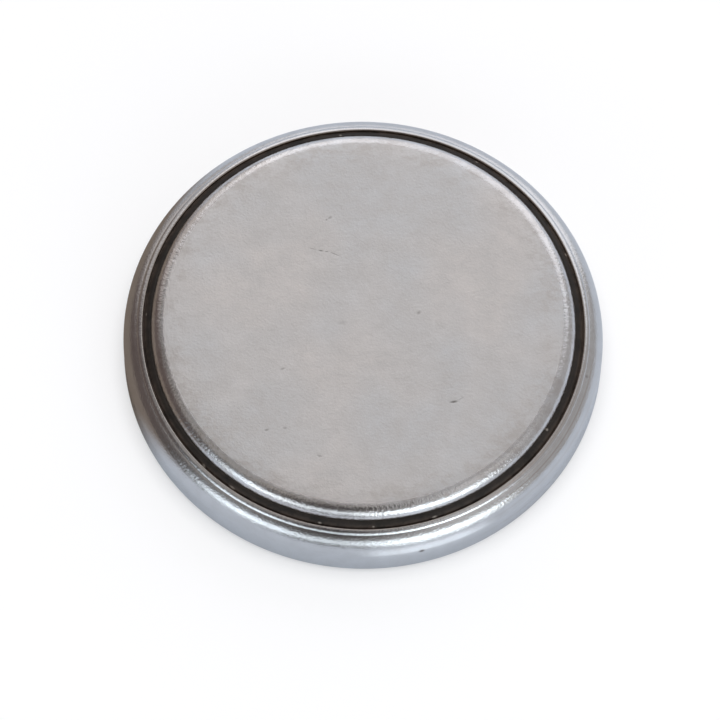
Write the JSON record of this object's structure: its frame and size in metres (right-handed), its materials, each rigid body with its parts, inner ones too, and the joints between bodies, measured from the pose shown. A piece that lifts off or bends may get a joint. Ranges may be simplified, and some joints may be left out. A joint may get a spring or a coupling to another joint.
{
  "type": "lithium coin cell",
  "caption": "Round lithium coin cell: a crimped steel can, a raised negative cap and a sealing gasket between them, with its electrodes inside.",
  "frame": {"origin": "centre of the positive contact face, on the cell's axis", "axes": "+Z along the cell's axis, from the positive face to the negative face; X and Y are alike, as the cell is round"},
  "size_m": [0.02, 0.02, 0.0032],
  "materials": {
    "can_steel": "drawn satin stainless steel, bright on the bends",
    "cap_steel": "matt rolled stainless steel, bright on the edge",
    "gasket_polymer": "dark moulded polymer",
    "lithium_foil": "soft rolled lithium, slightly dulled",
    "separator_felt": "white non-woven fibre felt",
    "cathode_powder": "pressed black oxide powder",
    "grid_steel": "expanded stainless steel"
  },
  "bodies": {
    "root": {"positive_can": "can_steel", "negative_cap": "cap_steel", "sealing_gasket": "gasket_polymer", "lithium_anode": "lithium_foil", "separator": "separator_felt", "cathode_pellet": "cathode_powder", "collector_grid": "grid_steel"}
  },
  "joints": []
}
